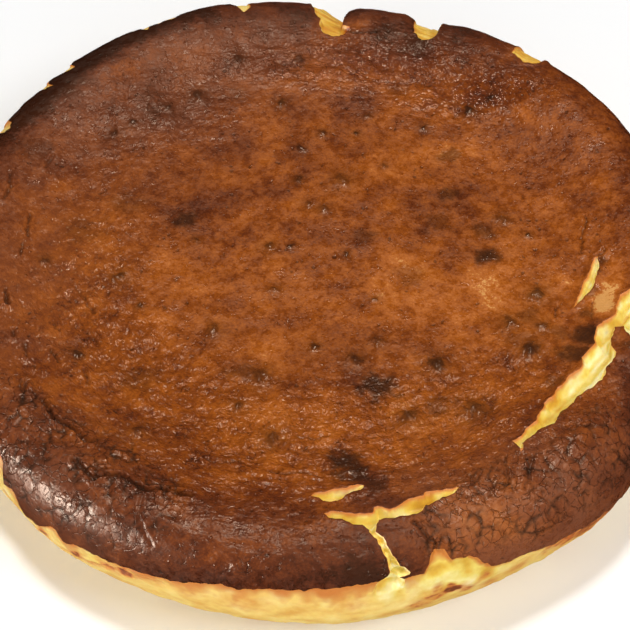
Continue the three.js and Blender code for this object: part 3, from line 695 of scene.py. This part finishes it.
# among these, the film value is painted sheen, and the crease, gap and fold values and part of the scorch
# value are painted shade
worn = {
    "inside": inside, "toast": np.clip(toast, 0.05, 12), "cut": smooth(cracks / 0.6) * smooth((6 - side) / 6),
    "brown": brown, "char": char, "crackle": crackle, "creaseShade": creaseShade, "wrinkled": wrinkled, "gap": gapHere,
    "lemon": pale, "scorchAndShade": scorchAndShade, "dull": dull, "seam": np.exp(-(fromSeam / 1.2) ** 2) * (side > 0),
    "fold": fold, "paintedSheen": paintedSheen, "polished": polished,
}
for name, values in worn.items():  # the materials read these
    mesh.attributes.new(name, "FLOAT", "POINT").data.foreach_set("value", values.astype(np.float32))
ring = np.minimum(way, 34)  # a pattern laid on this is stretched round the cake, except in the middle
ringPlace = np.stack([ring * np.cos(turn), ring * np.sin(turn), way], axis=1).astype(np.float32)
mesh.attributes.new("ringPlace", "FLOAT_VECTOR", "POINT").data.foreach_set("vector", ringPlace.ravel())
mesh.update()
mesh.validate()
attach(cheesecake, "root")
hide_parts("cheesecake")
print("cheesecake made:", len(mesh.polygons), "faces")


def addNode(tree, kind, inputs=None, stops=(), **settings):  # a node with its settings and links
    node = tree.nodes.new("ShaderNode" + kind)
    for name, value in settings.items():
        setattr(node, name, value)
    for name, value in (inputs or {}).items():
        if isinstance(value, bpy.types.Node):  # a node stands for its first output in use
            value = next(socket for socket in value.outputs if socket.enabled)
        if isinstance(value, bpy.types.NodeSocket):
            tree.links.new(value, node.inputs[name])
        else:
            node.inputs[name].default_value = value
    if stops:
        elements = node.color_ramp.elements
        while len(elements) < len(stops):
            elements.new(0.5)
        for element, (position, hexColour) in zip(elements, stops):
            element.position = position
            element.color = linear(hexColour)
    return node


def newMaterial(name):  # an empty material, and addNode bound to its nodes
    material = bpy.data.materials.new(name)
    material.use_nodes = True
    material.node_tree.nodes.clear()
    return material, functools.partial(addNode, material.node_tree)


def readSurface(add, names):  # the place on the piece in mm, and the mesh's attributes
    place = add("VectorMath", {0: add("TexCoord").outputs["Object"], "Scale": 1 / mm}, operation="SCALE")
    return place, {name: add("Attribute", attribute_name=name).outputs["Fac"] for name in names}


# Browned skin of a baked custard: milk protein and sugar, dried and caramelised in a hot oven. It is
# thin and a little greasy, so small wrinkles glint while the rest looks soft and dull, and it goes
# from caramel through dark brown to burnt.
# Creases, gaps between plates and small pits are drawn darker as painted shade, and some places carry a
# painted sheen.
skinLook = {
    "bend": 2.5,  # mm: patterns are bent at this size, so that they don't look even
    "bentBy": 2.2,
    "ringBentBy": 0.3,
    "noises": {  # mm across, detail, roughness
        "mottle": (8, 3.0, 0.6),
        "fleck": (2.4, 3.0, 0.65),
        "speck": (0.7, 2.0, 0.6),
        "wrinkle": (1.9, 2.0, 0.5),  # drawn coarser than real so that it shows
        "grain": (0.9, 2.0, 0.5),
    },
    "pit": 3.1,  # mm between small pits
    "pimple": 2.8,
    "pimply": 0.35,  # share of pimples where the skin isn't wrinkled
    "plate": 3.1,  # mm across a plate of the crackled skin
    "ramps": {  # of what, from and to which value, what it gives there
        "pit": ("pit", 0.08, 0.26, 1.0, 0.0),
        "pimple": ("pimple", 0.02, 0.19, 1.0, 0.0),
        "gaps": ("plate", 0.01, 0.06, 1.0, 0.0),
        "shiny": ("fleck", 0.44, 0.5, 0.0, 1.0),
        "some": ("mottle", 0.48, 0.6, 0.0, 1.0),
        "seldom": ("mottle", 0.55, 0.62, 0.0, 1.0),
        "parted": ("crackle", 0.3, 0.7, 0.0, 1.0),
    },
    "broken": (0.4, 0.55),  # no gaps below the first value of the fleck pattern, whole ones above the second
    "wrinkleHeight": 1.05,
    "smoothSkin": 0.08,  # wrinkle height where the skin isn't wrinkled
    "heights": {"grain": 0.16, "pimple": 0.4, "slant": 0.1, "gaps": -0.24, "pit": -0.2},
    "taut": 0.3,  # share of the height left on taut skin
    "browning": {"mottle": 0.68, "fleck": 0.62, "speck": 0.46},
    "brownShift": 0.83,
    "browns": [
        (0, "d29450"), (0.08, "b8682a"), (0.24, "a35519"), (0.45, "854113"), (0.65, "652e12"),
        (0.85, "4a2010"), (1, "30160b")],
    # colour of the painted sheen
    "paintedSheen": "804a30",
    "charred": "241a12",
    # painted shade: how dark the gaps between plates and the small pits are drawn
    "gapShade": 0.42,
    "pitShade": 0.6,
    "darkest": 0.85,  # how much of the charred colour shows at most, as burnt skin and as painted shade
    "dull": 0.5,  # roughness, and that of greasy places, taut skin and pimples
    "greasy": 0.18,
    "polished": 0.34,
    "pimpleShine": 0.12,
    "oily": (0.42, 0.6),  # values of the fleck pattern over which dull turns to greasy
    "dryness": 0.2,
    "ior": 1.45,
    "specular": 0.26,
    "glint": "ffe0c4",  # caramelised fat tints what it reflects
}


def browned():
    look = skinLook
    material, add = newMaterial("browned_baked_custard_skin")
    place, made = readSurface(add, (
        "brown", "char", "crackle", "creaseShade", "dull", "paintedSheen", "gap", "polished", "wrinkled"))
    bend = add("TexNoise", {"Vector": place, "Scale": 1 / look["bend"], "Detail": 2.0})
    bend = add("VectorMath", {0: bend.outputs["Color"], 1: [look["bentBy"]] * 3, 2: place},
                   operation="MULTIPLY_ADD")
    ring = add("Attribute", attribute_name="ringPlace").outputs["Vector"]
    ring = add("VectorMath", {0: bend, 1: [look["ringBentBy"]] * 3, 2: ring}, operation="MULTIPLY_ADD")
    on = {"mottle": bend, "fleck": bend, "speck": place, "wrinkle": ring, "grain": place}
    for name, (size, detail, roughness) in look["noises"].items():
        made[name] = add("TexNoise", {
            "Vector": on[name], "Scale": 1 / size, "Detail": detail, "Roughness": roughness})
    for name, where, feature in (
            ("pit", bend, "F1"), ("pimple", place, "F1"), ("plate", bend, "DISTANCE_TO_EDGE")):
        made[name] = add("TexVoronoi", {"Vector": where, "Scale": 1 / look[name]}, feature=feature)
    for name, (source, low, high, atLow, atHigh) in look["ramps"].items():
        made[name] = add("MapRange", {
            "Value": made[source], "From Min": low, "From Max": high, "To Min": atLow, "To Max": atHigh},
            interpolation_type="SMOOTHSTEP")

    # each plate of the crackled skin tips its own way
    plate = add("TexVoronoi", {"Vector": bend, "Scale": 1 / look["plate"]})
    fromMiddle = add("VectorMath", {0: bend, 1: plate.outputs["Position"]}, operation="SUBTRACT")
    towards = add("VectorMath", {0: plate.outputs["Color"], 1: (0.5, 0.5, 0.5)}, operation="SUBTRACT")
    made["slant"] = add("VectorMath", {0: fromMiddle, 1: towards}, operation="DOT_PRODUCT")

    pimply = add("Math", {0: made["wrinkled"], 1: look["pimply"]}, operation="ADD", use_clamp=True)
    broken = add("MapRange", {
        "Value": made["fleck"], "From Min": look["broken"][0], "From Max": look["broken"][1]})
    seldom = add("Math", {0: made["seldom"], 1: made["wrinkled"]}, operation="MULTIPLY")
    anywhere = add("Math", {0: made["parted"], 1: seldom}, operation="MAXIMUM")
    for name, share in (("pimple", made["shiny"]), ("pimple", pimply), ("pit", made["some"]),
                        ("gaps", anywhere), ("gaps", broken), ("slant", made["parted"])):
        made[name] = add("Math", {0: made[name], 1: share}, operation="MULTIPLY")

    amount = add("Math", {0: made["wrinkled"], 1: look["wrinkleHeight"], 2: look["smoothSkin"]},
                     operation="MULTIPLY_ADD")
    height = add("Math", {0: made["wrinkle"], 1: amount}, operation="MULTIPLY")
    for name, rise in look["heights"].items():
        height = add("Math", {0: made[name], 1: rise, 2: height}, operation="MULTIPLY_ADD")
    taut = add("MapRange", {"Value": made["polished"], "To Min": 1.0, "To Max": look["taut"]})
    height = add("Math", {0: height, 1: taut}, operation="MULTIPLY")
    bump = add("Bump", {"Height": height, "Distance": mm, "Strength": 1.0})

    brown = made["brown"]
    for name, share in look["browning"].items():
        brown = add("Math", {0: made[name], 1: share, 2: brown}, operation="MULTIPLY_ADD")
    brown = add("Math", {0: brown, 1: look["brownShift"]}, operation="SUBTRACT")
    colour = add("ValToRGB", {"Fac": brown}, stops=look["browns"])
    # painted sheen: the brown is mixed towards a pale greyish tone
    colour = add("Mix", {0: made["paintedSheen"], 6: colour, 7: linear(look["paintedSheen"])}, data_type="RGBA")
    # dark places: the char of burnt blisters and patches is real, and the darkening in creases, gaps between
    # plates and small pits is painted shade
    dark = add("Math", {0: made["gaps"], 1: look["gapShade"]}, operation="MULTIPLY")
    pitted = add("Math", {0: made["pit"], 1: look["pitShade"]}, operation="MULTIPLY")
    for darker in (pitted, made["char"], made["creaseShade"], made["gap"]):
        dark = add("Math", {0: dark, 1: darker}, operation="MAXIMUM")
    dark = add("Math", {0: dark, 1: look["darkest"]}, operation="MULTIPLY")
    colour = add("Mix", {0: dark, 6: colour, 7: linear(look["charred"])}, data_type="RGBA")

    rough = add("MapRange", {
        "Value": made["fleck"], "From Min": look["oily"][0], "From Max": look["oily"][1],
        "To Min": look["dull"], "To Max": look["greasy"]}, interpolation_type="SMOOTHSTEP")
    oily = add("Math", {0: made["char"], 1: made["wrinkled"]}, operation="MAXIMUM")
    rough = add("Mix", {0: oily, 2: rough, 3: look["greasy"]})
    rough = add("Math", {0: made["dull"], 1: look["dryness"], 2: rough}, operation="MULTIPLY_ADD")
    rough = add("Mix", {0: made["polished"], 2: rough, 3: look["polished"]})
    rough = add("Mix", {0: made["pimple"], 2: rough, 3: look["pimpleShine"]})
    surface = add("BsdfPrincipled", {
        "Base Color": colour, "Roughness": rough, "Normal": bump, "IOR": look["ior"],
        "Specular IOR Level": look["specular"], "Specular Tint": linear(look["glint"])})
    add("OutputMaterial", {"Surface": surface})
    return material


# Set custard of a baked cheesecake, with no skin: soft, moist and close-grained, so light goes a
# little way in and its folds look rounded. Its edges under the skin are toasted.
# Its folds and drips are drawn darker in their grooves, and the far tears darker overall, as painted shade.
custardLook = {
    "noises": {  # mm across, detail, roughness
        "patch": (9, 3.0, 0.6),  # golden patches
        "pore": (0.7, 2.0, 0.5),
        "ragged": (4, 1.0, 0.5),
        "uneven": (2, 3.0, 0.5),
    },
    "side": [(0.3, "f6da84"), (0.5, "efc868"), (0.7, "e0a848")],
    "cut": [(0.25, "faf0b4"), (0.5, "efd668"), (0.68, "e0b23a"), (0.85, "c88c2a")],
    "toasted": "cf7c2c",
    "scorched": [(0.2, "dc9238"), (0.55, "cc6e26"), (0.9, "84401a")],
    "unevenness": (1.6, 0.2),  # strength of the uneven pattern in scorched places, and what is added to it
    "scorchCover": 1.5,
    # painted shade: how much darker the custard is drawn in the grooves of folds and drips and on the far
    # tears
    "foldShade": 0.3,
    "fringe": (0.4, 1.8),  # shares of the toast's width at which it starts to fade and is gone
    "seam": 1.7,
    "poreHeight": 0.06,
    "roughness": 0.5,
    "ior": 1.42,
    "lightInside": 0.15,  # how much light goes in, how far (m), and red, green and blue of that
    "lightDepth": 0.002,
    "lightColours": (1.0, 0.5, 0.2),
}


def custard():
    look = custardLook
    material, add = newMaterial("baked_cream_cheese_custard")
    place, made = readSurface(add, ("fold", "cut", "lemon", "inside", "toast", "seam", "scorchAndShade"))
    for name, (size, detail, roughness) in look["noises"].items():
        made[name] = add("TexNoise", {
            "Vector": place, "Scale": 1 / size, "Detail": detail, "Roughness": roughness})
    sideColour = add("ValToRGB", {"Fac": made["patch"]}, stops=look["side"])
    # painted shade: the fold value moves the cut custard's colour towards its darker gold
    deeper = add("Math", {0: made["fold"], 1: look["foldShade"], 2: made["patch"]},
                     operation="MULTIPLY_ADD")
    cutColour = add("ValToRGB", {"Fac": deeper}, stops=look["cut"])
    cut = add("Math", {0: made["cut"], 1: made["lemon"]}, operation="MAXIMUM")
    colour = add("Mix", {0: cut, 6: sideColour, 7: cutColour}, data_type="RGBA")

    reach = add("Math", {0: made["toast"], 1: made["ragged"]}, operation="MULTIPLY")
    fringe = add("Math", {0: made["inside"], 1: reach}, operation="DIVIDE")
    fringe = add("MapRange", {
        "Value": fringe, "From Min": look["fringe"][0], "From Max": look["fringe"][1],
        "To Min": 1.0, "To Max": 0.0})
    seamNear = add("Math", {0: made["seam"], 1: made["ragged"]}, operation="MULTIPLY")
    seamNear = add("Math", {0: seamNear, 1: look["seam"]}, operation="MULTIPLY", use_clamp=True)
    fringe = add("Math", {0: fringe, 1: seamNear}, operation="MAXIMUM")
    colour = add("Mix", {0: fringe, 6: colour, 7: linear(look["toasted"])}, data_type="RGBA")

    more, base = look["unevenness"]
    uneven = add("Math", {0: made["uneven"], 1: more, 2: base}, operation="MULTIPLY_ADD")
    # real scorching, and the painted shade of the far tears, turn the custard towards toasted colours
    scorchAndShade = add("Math", {0: made["scorchAndShade"], 1: uneven}, operation="MULTIPLY")
    baked = add("ValToRGB", {"Fac": scorchAndShade}, stops=look["scorched"])
    scorchAndShade = add("Math", {0: scorchAndShade, 1: look["scorchCover"]}, operation="MULTIPLY", use_clamp=True)
    colour = add("Mix", {0: scorchAndShade, 6: colour, 7: baked}, data_type="RGBA")
    height = add("Math", {0: made["pore"], 1: look["poreHeight"]}, operation="MULTIPLY")
    bump = add("Bump", {"Height": height, "Distance": mm})
    surface = add("BsdfPrincipled", {
        "Base Color": colour, "Roughness": look["roughness"], "Normal": bump, "IOR": look["ior"],
        "Subsurface Weight": look["lightInside"], "Subsurface Radius": look["lightColours"],
        "Subsurface Scale": look["lightDepth"]})
    add("OutputMaterial", {"Surface": surface})
    return material


mesh.materials.append(browned())
mesh.materials.append(custard())
print("materials made")


floorLook = {"size": 3.0, "colour": "fbfbfb", "roughness": 0.9, "specular": 0.1}
studio = {
    "aim": (0, 0, 0.04),  # m: every lamp points here
    "world": 0.2,
    "lamps": {  # where it comes from, distance and size (m), power (W), whether it lights, whether it glints
        "overhead": ((-0.06, 0.1, 1), 2.0, 0.3, 20, True, True),
        "left": ((-0.84, -0.5, 0.12), 1.0, 0.2, 3.4, True, False),
        "shoulder": ((-0.84, -0.5, 0.12), 1.0, 0.3, 24, False, True),
        "sparkle": ((0.05, 0.32, 1), 1.5, 0.08, 6.5, False, True),
        "right": ((0.55, -0.35, 0.75), 1.2, 0.45, 4.5, True, True),
        "front": ((0.2, -0.85, 0.42), 1.2, 1.0, 4.5, True, False),
        "behind": ((0.1, 1, 0.14), 1.2, 0.3, 2.5, True, False),
    },
}

floorMesh = bpy.data.meshes.new("studio_floor")
half = floorLook["size"] / 2
corners = [(-half, -half, 0), (half, -half, 0), (half, half, 0), (-half, half, 0)]
floorMesh.from_pydata(corners, [], [(0, 1, 2, 3)])
floor = bpy.data.objects.new("studio_floor", floorMesh)
bpy.context.scene.collection.objects.link(floor)
floorMaterial, add = newMaterial("white_matt_paper")
surface = add("BsdfPrincipled", {
    "Base Color": linear(floorLook["colour"]), "Roughness": floorLook["roughness"],
    "Specular IOR Level": floorLook["specular"]})
add("OutputMaterial", {"Surface": surface})
floorMesh.materials.append(floorMaterial)
floor.visible_glossy = False  # the white floor would veil the dark rim

for name, (towards, distance, size, power, lights, glints) in studio["lamps"].items():
    lamp = bpy.data.lights.new("light_" + name, "AREA")
    lamp.shape = "DISK"
    lamp.size = size
    lamp.energy = power
    holder = bpy.data.objects.new("light_" + name, lamp)
    towards = Vector(towards).normalized()
    holder.location = towards * distance + Vector(studio["aim"])
    holder.rotation_euler = towards.to_track_quat("Z", "Y").to_euler()
    holder.visible_diffuse = lights
    holder.visible_glossy = glints
    bpy.context.scene.collection.objects.link(holder)

world = bpy.data.worlds.new("pale_room")
world.use_nodes = True
world.node_tree.nodes.clear()
sky = addNode(world.node_tree, "Background", {"Color": (1, 1, 1, 1), "Strength": studio["world"]})
addNode(world.node_tree, "OutputWorld", {"Surface": sky})
world.cycles_visibility.glossy = False
bpy.context.scene.world = world

view = {  # m, and px of a photo that is 630 px wide; the sensor in mm
    "eye": (0, -0.3315, 0.4143), "aim": (0.00097, -0.02699, 0.04), "focal": 1602, "width": 630, "sensor": 36,
}
camera = bpy.data.cameras.new("photo_camera")
camera.sensor_width = view["sensor"]
camera.lens = view["sensor"] * view["focal"] / view["width"]
camera.clip_start = 0.01
eye = bpy.data.objects.new("photo_camera", camera)
eye.location = view["eye"]
eye.rotation_euler = (Vector(view["eye"]) - Vector(view["aim"])).to_track_quat("Z", "Y").to_euler()
bpy.context.scene.collection.objects.link(eye)
bpy.context.scene.camera = eye
bpy.context.scene.view_settings.view_transform = "Standard"
print("studio set up")

bpy.context.view_layer.update()
